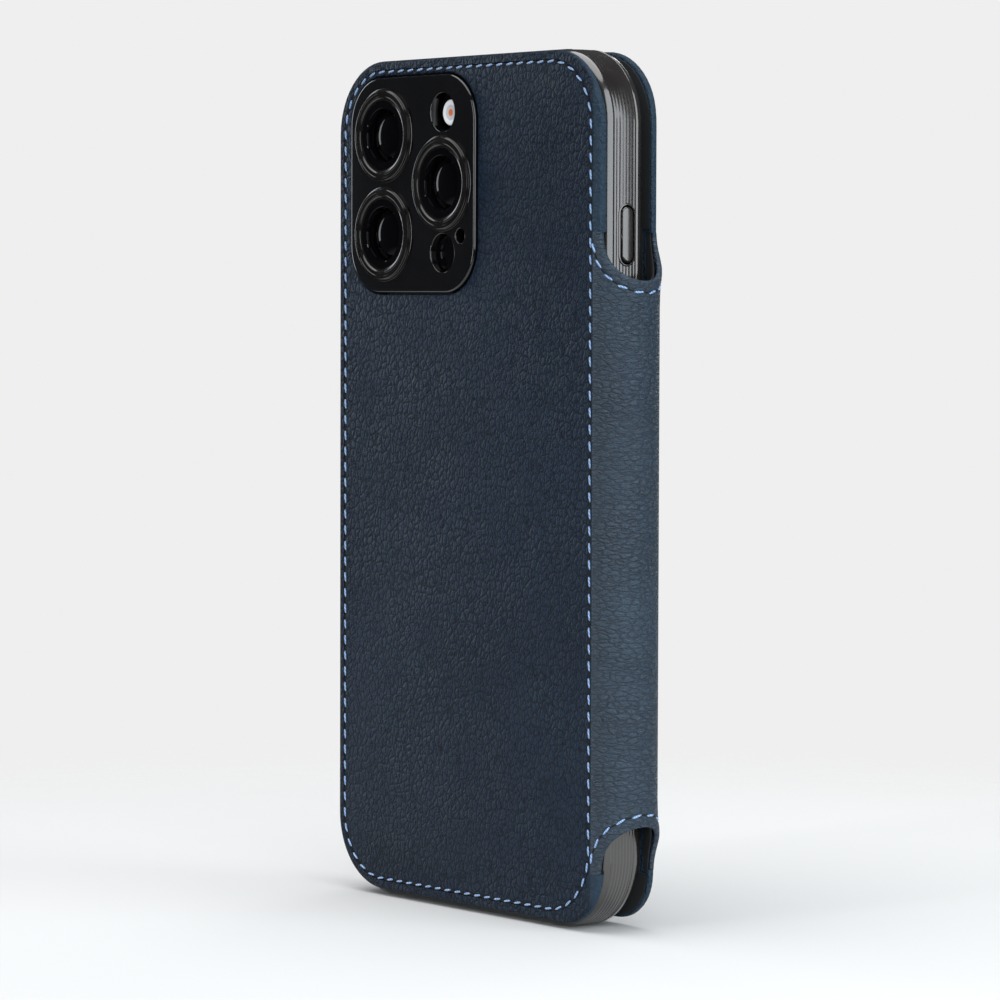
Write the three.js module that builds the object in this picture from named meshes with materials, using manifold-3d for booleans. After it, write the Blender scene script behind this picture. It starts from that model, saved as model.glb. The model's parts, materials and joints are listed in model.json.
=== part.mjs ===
// A flip wallet case for a large phone: a moulded shell with a camera plate, a leather back panel,
// a half-round leather spine and a leather front flap with card pockets.
// Millimetres. +Z is up, -Y is the camera side, +Y is the flap side, +X is the spine side.
import * as THREE from "three";
import { mergeVertices } from "three/addons/utils/BufferGeometryUtils.js";
import Module from "manifold-3d";

// The phone that the case is made for
const phoneWidth = 77.6;
const phoneHeight = 160.7;
const phoneDepth = 7.85;
const phoneCorner = 12.2;
const phoneFit = 0.05;

// Moulded shell
const sideWall = 1.65;
const endWall = 1.2;
const backWall = 0.9;
const lipWall = 0.75;
const lipReach = 1.6;
const shellEdge = 2.4;

// Leather panels, from the outer face inwards
const rimThickness = 1.4;
const boardThickness = 0.5;
const boardInset = 2.6;
const boardFit = 0.1;
const liningThickness = 0.25;
const liningInset = 0.7;
const glueGap = 0.05;
const panelOverhang = 0.15;
const spineOverhang = 0.35;
const panelTopDrop = 0.25;
const panelFoot = 1.35;
const panelCorner = 14;
const panelEdge = 0.45;
const lipClearance = 0.85;

// Half-round spine, which bends at four lines
const spineLeather = 1;
const spineLining = 0.3;
const spineSlats = ["rear", "middle", "front"];
const slatArc = Math.PI / spineSlats.length;
const bendRelief = 0.15;
const spineInset = 2.05;
const notchRadius = 9;
const notchBelowMute = 3.2;
const lowerNotchCrown = 20.05;
const notchClearance = 0.3;

// Seams
const seamInset = 2.1;
const notchSeamInset = 2.2;
const seamToSpine = 0.75;
const threadWidth = 0.45;
const threadProud = 0.3;
const threadSunk = 0.15;
const grooveMargin = 0.15;

// Camera plate
const plateWidth = 39.9;
const plateHeight = 41.7;
const plateCorner = 9;
const plateFromLeft = 4.5;
const plateFromTop = 3.2;
const plateProud = 0.55;
const plateSeat = 1.6;
const plateClearance = 0.3;
const plateEdge = 0.4;
const lensColumns = 18.7;
const lensRows = 19.06;
const lensMargin = 11.2;
const lensFromTop = 11.3;
const ringOuter = 8.75;
const ringBase = 9.2;
const ringBore = 7.3;
const ringHeight = 0.8;
const ringSeat = 6.4;
const ringLedge = 0.6;
const ringStepLow = 0.25;
const ringStepHigh = 0.5;
const ringDraft = 0.15;
const boreDraft = 0.3;
const coverDepth = 0.7;
const coverRim = 0.25;
const coverShoulder = 0.4;
const coverMiddle = 0.45;
const domeShoulder = 0.6;
const radialFit = 0.2;
const flashFromTop = 7.3;
const sensorFromBottom = 7.6;
const auxRadius = 3.7;
const windowDepth = 1.1;
const windowThickness = 0.6;
const micRadius = 1.4;
const micAcross = 5.6;
const micAbove = 3.2;

// Buttons: distance of the centre below the phone's top, and length
const muteButton = { name: "mute_button", side: 1, fromTop: 33.25, length: 10.4 };
const volumeUpButton = { name: "volume_up_button", side: 1, fromTop: 50.2, length: 11.6 };
const volumeDownButton = { name: "volume_down_button", side: 1, fromTop: 64.2, length: 11.6 };
const sideButton = { name: "side_button", side: -1, fromTop: 54.7, length: 18.5 };
const buttons = [muteButton, volumeUpButton, volumeDownButton, sideButton];
const buttonWidth = 3.6;
const buttonProud = 0.45;
const buttonGap = 0.35;
const buttonTravel = 0.5;

// Openings in the foot of the shell
const portWidth = 13;
const portDepth = 5.6;
const speakerWidth = 15;
const speakerDepth = 2.2;
const speakerOffset = 21;

// Card pockets inside the flap
const pocketWidth = 60;
const pocketFoot = 24;
const pocketTop = 122;
const pocketStep = 14;
const pocketCorner = 3;
const pocketSheet = 0.35;
const pocketNames = ["card_pocket_tall", "card_pocket_middle", "card_pocket_short"];
const pocketSeamInset = 1.4;

// Fineness of round edges, corners, discs and turned pieces
const edgeSteps = 2;
const cornerSteps = 4;
const discSteps = 10;
const turnSteps = 28;
const pillSteps = 6;
const slatSteps = 8;

// How far a cutter passes the face that it cuts, and the flat left between two round ends
const cutterReach = 1;
const flatEnd = 0.01;

// Worked-out places
const cavityWidth = phoneWidth + 2 * phoneFit;
const cavityHeight = phoneHeight + 2 * phoneFit;
const cavityBack = -phoneDepth / 2 - phoneFit;
const cavityFront = phoneDepth / 2 + phoneFit;
const shellWidth = cavityWidth + 2 * sideWall;
const shellHeight = cavityHeight + 2 * endWall;
const shellCorner = phoneCorner + sideWall;
const shellBack = cavityBack - backWall;
const shellFront = cavityFront + lipWall;
const cavityFoot = endWall;
const phoneTop = cavityFoot + cavityHeight;

const panelThickness = rimThickness + glueGap + liningThickness;
const panelLeft = -shellWidth / 2 - panelOverhang;
const panelRight = shellWidth / 2 + spineOverhang;
const panelTop = shellHeight - panelTopDrop;
const backOuter = shellBack - glueGap - panelThickness;
const frontInner = shellFront + lipClearance;
const frontOuter = frontInner + panelThickness;

const spineStart = panelRight - spineInset;
const spineRadius = (frontOuter - backOuter) / 2;
const spineCentreY = (frontOuter + backOuter) / 2;
const spineThickness = spineLeather + glueGap + spineLining;
const bendRadius = spineRadius - spineThickness / 2;
const slatWidth = 2 * bendRadius * Math.sin(slatArc / 2);
const slatRelief = (spineThickness / 2) * Math.tan(slatArc / 2) + bendRelief;
const upperNotchFloor = phoneTop - muteButton.fromTop - muteButton.length / 2 - notchBelowMute;
const spineFoot = lowerNotchCrown - notchRadius;
const spineTop = upperNotchFloor + notchRadius;

const plateLeft = panelLeft + plateFromLeft;
const plateCentreX = plateLeft + plateWidth / 2;
const plateTop = panelTop - plateFromTop;
const plateCentreZ = plateTop - plateHeight / 2;
const plateFace = backOuter - plateProud;
const ringTop = plateFace - glueGap - ringHeight;
const leftLensX = plateLeft + lensMargin;
const rightLensX = leftLensX + lensColumns;
const upperLensZ = plateTop - lensFromTop;
const middleLensZ = upperLensZ - lensRows / 2;
const lowerLensZ = upperLensZ - lensRows;

const slatFace = bendRadius * Math.cos(slatArc / 2) + spineThickness / 2;
const leftReach = Math.max(shellWidth / 2 + buttonProud, -panelLeft);
const middleX = (spineStart + slatFace + threadProud - leftReach) / 2;
const middleY = (ringTop + frontOuter + threadProud) / 2;

const navyLeather = material(0x1f2f42, 0.62, 0);
const darkLining = material(0x16191d, 0.9, 0);
const stiffBoard = material(0x8b8479, 0.95, 0);
const paleThread = material(0x7f9cc0, 0.7, 0);
const glossBlack = material(0x08090b, 0.12, 0);
const darkGlass = material(0x05060a, 0.04, 0);
const frostedGlass = material(0xe6e6ea, 0.3, 0);
const smokeShell = material(0x2b2a2b, 0.2, 0);

const wasm = await Module();
wasm.setup();

function material(color, roughness, metalness) {
  return new THREE.MeshStandardMaterial({ color, roughness, metalness });
}

// A closed three.js geometry as a solid that can be joined and cut.
function solid(geometry) {
  const bare = geometry.clone();
  bare.deleteAttribute("normal");
  bare.deleteAttribute("uv");
  const merged = mergeVertices(bare, 1e-4);
  return new wasm.Manifold(
    new wasm.Mesh({
      numProp: 3,
      vertProperties: merged.attributes.position.array,
      triVerts: new Uint32Array(merged.index.array),
    }),
  );
}

function geometryOf(body) {
  const { vertProperties, triVerts } = body.getMesh();
  const geometry = new THREE.BufferGeometry();
  geometry.setAttribute("position", new THREE.BufferAttribute(vertProperties, 3));
  geometry.setIndex(new THREE.BufferAttribute(triVerts, 1));
  geometry.computeVertexNormals();
  return geometry;
}

function cut(body, ...cutters) {
  return cutters.reduce((rest, cutter) => rest.subtract(cutter), body);
}

// A rectangle with round corners between two X and two Z limits.
function roundedRectangle(left, right, foot, top, radius) {
  const shape = new THREE.Shape();
  shape.absarc(right - radius, foot + radius, radius, -Math.PI / 2, 0);
  shape.absarc(right - radius, top - radius, radius, 0, Math.PI / 2);
  shape.absarc(left + radius, top - radius, radius, Math.PI / 2, Math.PI);
  shape.absarc(left + radius, foot + radius, radius, Math.PI, Math.PI * 1.5);
  shape.closePath();
  return shape;
}

function centredRectangle(centreX, centreZ, width, height, radius) {
  return roundedRectangle(
    centreX - width / 2,
    centreX + width / 2,
    centreZ - height / 2,
    centreZ + height / 2,
    radius,
  );
}

function disc(centreX, centreZ, radius) {
  return new THREE.Shape().absarc(centreX, centreZ, radius, 0, Math.PI * 2);
}

// An outline drawn in X and Z, made solid between two Y planes, with an optional round edge.
function slab(shape, back, front, edge = 0, curveSegments = cornerSteps) {
  const geometry = new THREE.ExtrudeGeometry(shape, {
    depth: front - back - 2 * edge,
    curveSegments,
    bevelEnabled: edge > 0,
    bevelSize: edge,
    bevelThickness: edge,
    bevelOffset: -edge,
    bevelSegments: edgeSteps,
  });
  geometry.rotateX(Math.PI / 2);
  geometry.translate(0, front - edge, 0);
  return solid(geometry);
}

// An outline drawn in Y and Z, made solid between two X planes.
function sideBlock(shape, low, high) {
  const geometry = new THREE.ExtrudeGeometry(shape, {
    depth: high - low,
    curveSegments: pillSteps,
    bevelEnabled: false,
  });
  const turn = new THREE.Matrix4().makeBasis(
    new THREE.Vector3(0, 1, 0),
    new THREE.Vector3(0, 0, 1),
    new THREE.Vector3(1, 0, 0),
  );
  geometry.applyMatrix4(turn.setPosition(low, 0, 0));
  return solid(geometry);
}

// An outline drawn in X and Y, made solid between two Z planes.
function floorBlock(shape, low, high) {
  const geometry = new THREE.ExtrudeGeometry(shape, {
    depth: high - low,
    curveSegments: pillSteps,
    bevelEnabled: false,
  });
  geometry.translate(0, 0, low);
  return solid(geometry);
}

// A profile of radius and height turned round an axis that points out of the camera side.
function turned(profile, centreX, centreZ, base) {
  const points = profile.map(([radius, height]) => new THREE.Vector2(radius, height));
  const geometry = new THREE.LatheGeometry(points, turnSteps);
  geometry.rotateX(Math.PI);
  geometry.translate(centreX, base, centreZ);
  return solid(geometry);
}

function piece(name, body, look) {
  const mesh = new THREE.Mesh(geometryOf(body), look);
  mesh.name = name;
  return mesh;
}

// Shell

function buttonOutline(button, margin) {
  const half = buttonWidth / 2 + margin;
  const centre = phoneTop - button.fromTop;
  const reach = button.length / 2 + margin;
  return roundedRectangle(-half, half, centre - reach, centre + reach, half - flatEnd);
}

function buttonWindow(button) {
  const inner = button.side * (cavityWidth / 2 - cutterReach);
  const outer = button.side * (shellWidth / 2 + cutterReach);
  const outline = buttonOutline(button, buttonGap);
  return sideBlock(outline, Math.min(inner, outer), Math.max(inner, outer));
}

function buttonCover(button) {
  const inner = button.side * (cavityWidth / 2 + buttonTravel);
  const outer = button.side * (shellWidth / 2 + buttonProud);
  const body = sideBlock(buttonOutline(button, 0), Math.min(inner, outer), Math.max(inner, outer));
  return piece(button.name, body, smokeShell);
}

function footOpening(centre, width, depth) {
  const outline = roundedRectangle(
    centre - width / 2,
    centre + width / 2,
    -depth / 2,
    depth / 2,
    depth / 2 - flatEnd,
  );
  return floorBlock(outline, -cutterReach, cavityFoot + cutterReach);
}

function phoneShell() {
  const outside = centredRectangle(0, shellHeight / 2, shellWidth, shellHeight, shellCorner);
  const cavity = centredRectangle(0, shellHeight / 2, cavityWidth, cavityHeight, phoneCorner);
  const screen = centredRectangle(
    0,
    shellHeight / 2,
    cavityWidth - 2 * lipReach,
    cavityHeight - 2 * lipReach,
    phoneCorner - lipReach,
  );
  const bump = centredRectangle(
    plateCentreX,
    plateCentreZ,
    plateWidth - 2 * plateSeat,
    plateHeight - 2 * plateSeat,
    plateCorner - plateSeat,
  );
  const body = cut(
    slab(outside, shellBack, shellFront, shellEdge),
    slab(cavity, cavityBack, cavityFront),
    slab(screen, 0, shellFront + cutterReach),
    slab(bump, shellBack - cutterReach, 0),
    ...buttons.map(buttonWindow),
    footOpening(0, portWidth, portDepth),
    footOpening(-speakerOffset, speakerWidth, speakerDepth),
    footOpening(speakerOffset, speakerWidth, speakerDepth),
  );
  return piece("phone_shell", body, smokeShell);
}

// Camera plate

const flashPlace = [rightLensX, plateTop - flashFromTop];
const sensorPlace = [rightLensX, plateTop - plateHeight + sensorFromBottom];
const micPlace = [rightLensX + micAcross, plateTop - plateHeight + sensorFromBottom + micAbove];
const lensPlaces = [
  ["upper", leftLensX, upperLensZ],
  ["lower", leftLensX, lowerLensZ],
  ["side", rightLensX, middleLensZ],
];

function cameraPlate() {
  const outline = centredRectangle(plateCentreX, plateCentreZ, plateWidth, plateHeight, plateCorner);
  const inside = centredRectangle(
    plateCentreX,
    plateCentreZ,
    plateWidth - 2 * plateSeat,
    plateHeight - 2 * plateSeat,
    plateCorner - plateSeat,
  );
  const seat = shellBack - glueGap;
  const behind = seat + cutterReach;
  const inFront = plateFace - cutterReach;
  const hole = (x, z, radius) => slab(disc(x, z, radius), inFront, behind, 0, discSteps);
  const body = cut(
    slab(outline, plateFace, seat, plateEdge),
    slab(inside, backOuter + windowDepth, behind),
    ...lensPlaces.map(([, x, z]) => hole(x, z, ringSeat)),
    hole(...flashPlace, auxRadius),
    hole(...sensorPlace, auxRadius),
    hole(...micPlace, micRadius),
  );
  return piece("camera_plate", body, glossBlack);
}

// A ring with a sloping outside and a stepped bore that holds its glass.
function lensRing([name, x, z]) {
  const floor = ringHeight - coverDepth;
  const inner = ringSeat - ringLedge;
  const profile = [
    [inner, 0],
    [ringBase, 0],
    [ringBase, ringHeight * ringStepLow],
    [ringOuter, ringHeight * ringStepHigh],
    [ringOuter - ringDraft, ringHeight],
    [ringBore, ringHeight],
    [ringBore - boreDraft, floor],
    [inner, floor],
    [inner, 0],
  ];
  return piece("lens_ring_" + name, turned(profile, x, z, plateFace - glueGap), glossBlack);
}

// The dark glass lies in the ring, a little below its rim.
function lensCover([name, x, z]) {
  const radius = ringBore - boreDraft - radialFit;
  const base = glueGap + (ringHeight - coverDepth);
  const profile = [
    [0, 0],
    [radius, 0],
    [radius, coverRim],
    [radius * domeShoulder, coverShoulder],
    [0, coverMiddle],
  ];
  return piece("lens_cover_" + name, turned(profile, x, z, plateFace - glueGap - base), darkGlass);
}

function recessedWindow(name, place, look) {
  const front = plateFace + windowDepth;
  const outline = disc(...place, auxRadius - radialFit);
  const body = slab(outline, front, front + windowThickness, 0, discSteps);
  return piece(name, body, look);
}

// Leather panels

// The outline that both panels share: straight past the spine at the notches, cut back between them.
function panelOutline(inset) {
  return roundedRectangle(
    panelLeft + inset,
    panelRight - inset,
    panelFoot + inset,
    panelTop - inset,
    panelCorner - inset,
  );
}

function hingeCut(reach) {
  return slab(
    roundedRectangle(
      spineStart - slatRelief - reach,
      panelRight + cutterReach,
      spineFoot - notchClearance - reach,
      spineTop + notchClearance + reach,
      notchClearance,
    ),
    backOuter - cutterReach,
    frontOuter + cutterReach,
  );
}

function cameraCut(back, front, margin) {
  return slab(
    centredRectangle(
      plateCentreX,
      plateCentreZ,
      plateWidth + 2 * margin,
      plateHeight + 2 * margin,
      plateCorner + margin,
    ),
    back,
    front,
  );
}

// Leather turned over a stiff board: a tray that is deeper at its rim.
function leatherTray(outer, inner, trayBack, trayFront) {
  return cut(
    slab(panelOutline(0), outer, inner, panelEdge),
    slab(panelOutline(boardInset - boardFit), trayBack, trayFront),
    hingeCut(0),
  );
}

function backPanel() {
  const inner = backOuter + rimThickness;
  const boardBack = inner - boardThickness;
  const leather = cut(
    leatherTray(backOuter, inner, boardBack - glueGap, inner + cutterReach),
    cameraCut(backOuter - cutterReach, inner + 1, plateClearance),
    seamLoop(grooveMargin, backOuter - cutterReach, backOuter + threadSunk + glueGap),
  );
  const board = cut(
    slab(panelOutline(boardInset), boardBack, inner),
    hingeCut(boardInset),
    cameraCut(boardBack - cutterReach, inner + 1, plateClearance),
  );
  const lining = cut(
    slab(panelOutline(liningInset), inner + glueGap, shellBack - glueGap),
    hingeCut(liningInset),
    cameraCut(inner - cutterReach, shellBack, plateClearance),
  );
  return [
    piece("back_leather", leather, navyLeather),
    piece("back_board", board, stiffBoard),
    piece("back_lining", lining, darkLining),
    piece("back_seam_thread", seamLoop(0, backOuter - threadProud, backOuter + threadSunk), paleThread),
  ];
}

function flapPanel() {
  const inner = frontOuter - rimThickness;
  const boardFront = inner + boardThickness;
  const leather = cut(
    leatherTray(inner, frontOuter, inner - cutterReach, boardFront + glueGap),
    seamLoop(grooveMargin, frontOuter - threadSunk - glueGap, frontOuter + cutterReach),
  );
  const board = cut(
    slab(panelOutline(boardInset), inner, boardFront),
    hingeCut(boardInset),
  );
  const lining = cut(
    slab(panelOutline(liningInset), frontInner, inner - glueGap),
    hingeCut(liningInset),
  );
  return [
    piece("flap_leather", leather, navyLeather),
    piece("flap_board", board, stiffBoard),
    piece("flap_lining", lining, darkLining),
    piece("flap_seam_thread", seamLoop(0, frontOuter - threadSunk, frontOuter + threadProud), paleThread),
  ];
}

// The line of thread that runs all round a panel, or with a margin the groove that it lies in.
function seamLoop(wider, back, front) {
  const half = threadWidth / 2 + wider;
  const corner = panelCorner - seamInset;
  const right = spineStart - seamToSpine;
  const loop = (margin) =>
    roundedRectangle(
      panelLeft + seamInset - margin,
      right + margin,
      panelFoot + seamInset - margin,
      panelTop - seamInset + margin,
      corner + margin,
    );
  return cut(slab(loop(half), back, front), slab(loop(-half), back - cutterReach, front + cutterReach));
}

// Card pockets

function cardPockets() {
  const centre = (panelLeft + spineStart) / 2;
  const sheets = pocketNames.map((name, level) => {
    const front = frontInner - glueGap - level * (pocketSheet + glueGap);
    const outline = roundedRectangle(
      centre - pocketWidth / 2,
      centre + pocketWidth / 2,
      pocketFoot,
      pocketTop - level * pocketStep,
      pocketCorner,
    );
    return piece(name, slab(outline, front - pocketSheet, front), navyLeather);
  });
  const front = frontInner - glueGap - pocketNames.length * (pocketSheet + glueGap);
  const sheetTop = pocketTop - (pocketNames.length - 1) * pocketStep;
  const loop = (margin) =>
    roundedRectangle(
      centre - pocketWidth / 2 + pocketSeamInset - margin,
      centre + pocketWidth / 2 - pocketSeamInset + margin,
      pocketFoot + pocketSeamInset - margin,
      sheetTop * 2,
      pocketCorner - pocketSeamInset + margin,
    );
  const half = threadWidth / 2;
  const above = roundedRectangle(
    centre - pocketWidth / 2,
    centre + pocketWidth / 2,
    sheetTop - pocketSeamInset,
    sheetTop * 2 + pocketCorner,
    pocketCorner / 2,
  );
  const thread = cut(
    slab(loop(half), front - threadProud, front),
    slab(loop(-half), front - threadProud - cutterReach, front + cutterReach),
    slab(above, front - threadProud - cutterReach, front + cutterReach),
  );
  return [...sheets, piece("pocket_seam_thread", thread, paleThread)];
}

// Spine

// How far the notch has risen at a distance along the leather from the spine's middle line.
function notchRise(along) {
  return notchRadius - Math.sqrt(Math.max(0, notchRadius ** 2 - along ** 2));
}

// The outline of one slat: across it in X, up it in Y, with both notches' edges.
function slatOutline(index, topEdge, footEdge, relief) {
  const middle = (index - (spineSlats.length - 1) / 2) * slatArc * spineRadius;
  const stretch = (slatArc * spineRadius) / slatWidth;
  const half = slatWidth / 2 - relief;
  const step = (2 * half) / slatSteps;
  const across = Array.from({ length: slatSteps + 1 }, (_, i) => -half + step * i);
  const foot = across.map((u) => new THREE.Vector2(u, footEdge(middle + u * stretch)));
  const top = across.map((u) => new THREE.Vector2(u, topEdge(middle + u * stretch)));
  return new THREE.Shape([...foot, ...top.reverse()]);
}

const upperEdge = (along) => upperNotchFloor + notchRise(along);
const lowerEdge = (along) => lowerNotchCrown - notchRise(along);

// A flat slat between two distances from the spine's axis.
function slat(index, outline, low, high) {
  const geometry = new THREE.ExtrudeGeometry(outline, { depth: high - low, bevelEnabled: false });
  const angle = (index - (spineSlats.length - 1) / 2) * slatArc;
  const turn = new THREE.Matrix4().makeBasis(
    new THREE.Vector3(-Math.sin(angle), Math.cos(angle), 0),
    new THREE.Vector3(0, 0, 1),
    new THREE.Vector3(Math.cos(angle), Math.sin(angle), 0),
  );
  turn.setPosition(spineStart + low * Math.cos(angle), spineCentreY + low * Math.sin(angle), 0);
  geometry.applyMatrix4(turn);
  return solid(geometry);
}

function spineSlat(name, index) {
  const inside = slatFace - spineThickness;
  const leatherBase = slatFace - spineLeather;
  const outline = slatOutline(index, upperEdge, lowerEdge, slatRelief);
  const half = threadWidth / 2;
  const row = (edge, inset) =>
    slatOutline(
      index,
      (along) => edge(along) + inset + half,
      (along) => edge(along) + inset - half,
      slatRelief + glueGap,
    );
  const proud = [slatFace + glueGap, slatFace + threadProud];
  return [
    piece("spine_leather_" + name, slat(index, outline, leatherBase, slatFace), navyLeather),
    piece("spine_lining_" + name, slat(index, outline, inside, inside + spineLining), darkLining),
    piece("upper_notch_thread_" + name, slat(index, row(upperEdge, -notchSeamInset), ...proud), paleThread),
    piece("lower_notch_thread_" + name, slat(index, row(lowerEdge, notchSeamInset), ...proud), paleThread),
  ];
}

// Assembly

const walletCase = new THREE.Group();
walletCase.position.set(-middleX, -middleY, 0);
walletCase.add(
  phoneShell(),
  cameraPlate(),
  ...lensPlaces.map(lensRing),
  ...lensPlaces.map(lensCover),
  recessedWindow("flash_window", flashPlace, frostedGlass),
  recessedWindow("sensor_window", sensorPlace, darkGlass),
  ...backPanel(),
  ...buttons.map(buttonCover),
  ...spineSlats.flatMap(spineSlat),
  ...flapPanel(),
  ...cardPockets(),
);

export default walletCase;
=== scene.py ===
import json
import math

import bmesh
import bpy
from mathutils import Matrix, Vector


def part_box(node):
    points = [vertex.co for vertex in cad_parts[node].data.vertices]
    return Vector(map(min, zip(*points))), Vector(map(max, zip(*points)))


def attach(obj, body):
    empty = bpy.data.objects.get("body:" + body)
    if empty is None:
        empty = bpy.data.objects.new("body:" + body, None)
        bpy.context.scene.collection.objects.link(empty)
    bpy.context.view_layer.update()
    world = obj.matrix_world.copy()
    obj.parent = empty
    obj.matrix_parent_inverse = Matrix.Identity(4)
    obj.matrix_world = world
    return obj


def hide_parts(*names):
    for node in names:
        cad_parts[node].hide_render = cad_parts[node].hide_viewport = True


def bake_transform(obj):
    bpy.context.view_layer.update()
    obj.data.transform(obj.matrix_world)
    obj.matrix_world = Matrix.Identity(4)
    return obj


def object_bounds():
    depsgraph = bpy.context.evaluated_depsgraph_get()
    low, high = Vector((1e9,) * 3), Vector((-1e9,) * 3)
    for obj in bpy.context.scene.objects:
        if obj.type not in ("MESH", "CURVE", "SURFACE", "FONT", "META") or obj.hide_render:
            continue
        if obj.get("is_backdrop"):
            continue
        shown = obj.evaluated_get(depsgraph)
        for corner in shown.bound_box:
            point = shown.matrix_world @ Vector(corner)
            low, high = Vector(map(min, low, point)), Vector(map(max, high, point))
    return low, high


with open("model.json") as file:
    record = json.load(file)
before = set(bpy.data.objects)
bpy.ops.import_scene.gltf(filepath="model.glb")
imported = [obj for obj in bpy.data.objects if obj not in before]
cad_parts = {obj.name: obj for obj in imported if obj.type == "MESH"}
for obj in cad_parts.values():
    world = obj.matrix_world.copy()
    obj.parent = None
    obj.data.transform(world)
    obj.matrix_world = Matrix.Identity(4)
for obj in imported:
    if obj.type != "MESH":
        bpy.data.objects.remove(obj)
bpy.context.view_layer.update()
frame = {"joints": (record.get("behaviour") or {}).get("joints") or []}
scene = bpy.context.scene
scene.view_settings.view_transform = "Standard"

mm = 0.001
tiny = 2e-6

# Places that the frame gives
joints = {joint["name"]: joint for joint in frame["joints"]}
shellLow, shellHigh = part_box("phone_shell")
backLow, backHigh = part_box("back_leather")
flapLow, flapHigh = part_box("flap_leather")
plateLow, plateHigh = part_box("camera_plate")
phoneX = (shellLow.x + shellHigh.x) / 2
spineX = joints["spine_hinge_case"]["pos_m"][0]
spineRadius = (flapHigh.y - backLow.y) / 2
spineY = (flapHigh.y + backLow.y) / 2

# Leather panels, the spine that joins them, and its two U-shaped notches
panel = dict(
    corner=14 * mm, rim=0.62 * mm, innerRim=0.4 * mm, thickness=1.4 * mm,
    seamInset=2.1 * mm, seamToSpine=0.75 * mm,
    board=0.5 * mm, boardInset=2.6 * mm, liningInset=0.7 * mm, lining=0.25 * mm,
)
groove = dict(width=0.9 * mm, depth=0.17 * mm)
notch = dict(
    floor=120.35 * mm, crown=20.05 * mm, seamInset=2.2 * mm, rim=0.47 * mm,
    swell=0.12 * mm, flare=0.35 * mm, flareReach=7 * mm, taper=6 * mm,
)
notch["radius"] = spineRadius * math.acos((backHigh.x - spineX) / spineRadius)
spineTop = notch["floor"] + notch["radius"]
spineFoot = notch["crown"] - notch["radius"]
spineSheet = dict(leather=1.0 * mm, lining=0.3 * mm, gap=0.05 * mm, step=math.radians(2.5), row=3.5 * mm)
opening = dict(gap=0.25 * mm, round=0.4 * mm, corner=9.25 * mm)
stitch = dict(pitch=3.1 * mm, length=1.9 * mm, width=0.44 * mm, height=0.25 * mm, slant=0.16)
# Size of the dark pill painted as shade in each needle hole.
needleHoleShade = dict(length=1.05 * mm, width=0.62 * mm, height=0.05 * mm)


def newMesh(name, bm, material, sharpAngle=38):
    mesh = bpy.data.meshes.new(name)
    bm.to_mesh(mesh)
    bm.free()
    mesh.materials.append(material)
    mesh.polygons.foreach_set("use_smooth", [True] * len(mesh.polygons))
    mesh.set_sharp_from_angle(angle=math.radians(sharpAngle))
    piece = bpy.data.objects.new(name, mesh)
    scene.collection.objects.link(piece)
    return piece


def closeUp(bm):
    bmesh.ops.remove_doubles(bm, verts=bm.verts[:], dist=1e-7)
    bmesh.ops.recalc_face_normals(bm, faces=bm.faces[:])


def fit(piece, body, slot, *nodes):
    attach(piece, body)
    if nodes:
        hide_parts(*nodes)
    return piece


# Outlines lie in X and Z; each corner is x, z and its radius.
def outline(bm, corners, y, steps=14):
    known = set(bm.faces)
    verts = [bm.verts.new((x, y, z)) for x, z, radius in corners]
    bm.faces.new(verts)
    for vert, (x, z, radius) in zip(verts, corners):
        if radius:
            bmesh.ops.bevel(
                bm, geom=[vert], offset=radius, offset_type="OFFSET", segments=steps,
                profile=0.5, affect="VERTICES", material=-1, clamp_overlap=False,
            )
    face = next(f for f in bm.faces if f not in known)
    bmesh.ops.remove_doubles(bm, verts=face.verts[:], dist=tiny)
    return next(f for f in bm.faces if f not in known)


def roundBox(left, right, foot, top, radius):
    return [(left, foot, radius), (right, foot, radius), (right, top, radius), (left, top, radius)]


def roundAbout(x, z, width, height, radius):
    return roundBox(x - width / 2, x + width / 2, z - height / 2, z + height / 2, radius)


# A panel's outline goes straight past the spine at the notches and is cut back between them.
def panelOutline(inset=0, hinge=0):
    left, right = backLow.x + inset, backHigh.x - inset
    foot, top = backLow.z + inset, backHigh.z - inset
    corner = panel["corner"] - inset
    fold = spineX - hinge
    low, high = spineFoot - hinge, spineTop + hinge
    return [
        (left, foot, corner), (right, foot, min(corner, low - foot)), (right, low, 0), (fold, low, 0),
        (fold, high, 0), (right, high, 0), (right, top, corner), (left, top, corner),
    ]


# The face shrinks by width and moves along Y.
def step(bm, face, width, shift):
    bmesh.ops.inset_region(bm, faces=[face], thickness=width, use_even_offset=True, use_boundary=True)
    bmesh.ops.translate(bm, vec=(0, shift, 0), verts=face.verts[:])


def openFace(bm, face):
    edges = list(face.edges)
    bmesh.ops.delete(bm, geom=[face], context="FACES_ONLY")
    return edges


def fillBetween(bm, edges):
    bmesh.ops.triangle_fill(bm, use_beauty=True, use_dissolve=False, edges=edges)


def widestFace(bm, y):
    level = [f for f in bm.faces if all(abs(v.co.y - y) < tiny for v in f.verts)]
    return max(level, key=lambda f: f.calc_area())


# A plate between two Y planes, with its two rims rounded except along the butt joint.
def plate(bm, corners, first, last, firstRim=0, lastRim=0, butt=None, steps=14):
    face = outline(bm, corners, first, steps)
    grown = bmesh.ops.extrude_face_region(bm, geom=[face])["geom"]
    verts = [g for g in grown if isinstance(g, bmesh.types.BMVert)]
    bmesh.ops.translate(bm, vec=(0, last - first, 0), verts=verts)
    for y, size in ((first, firstRim), (last, lastRim)):
        if not size:
            continue
        rim = [
            e for e in bm.edges
            if all(abs(v.co.y - y) < tiny for v in e.verts)
            and not (butt and all(butt(v.co) for v in e.verts))
        ]
        bmesh.ops.bevel(
            bm, geom=rim, offset=size, offset_type="OFFSET", segments=5, profile=0.5,
            affect="EDGES", material=-1, clamp_overlap=True,
        )
    return widestFace(bm, first), widestFace(bm, last)


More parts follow.
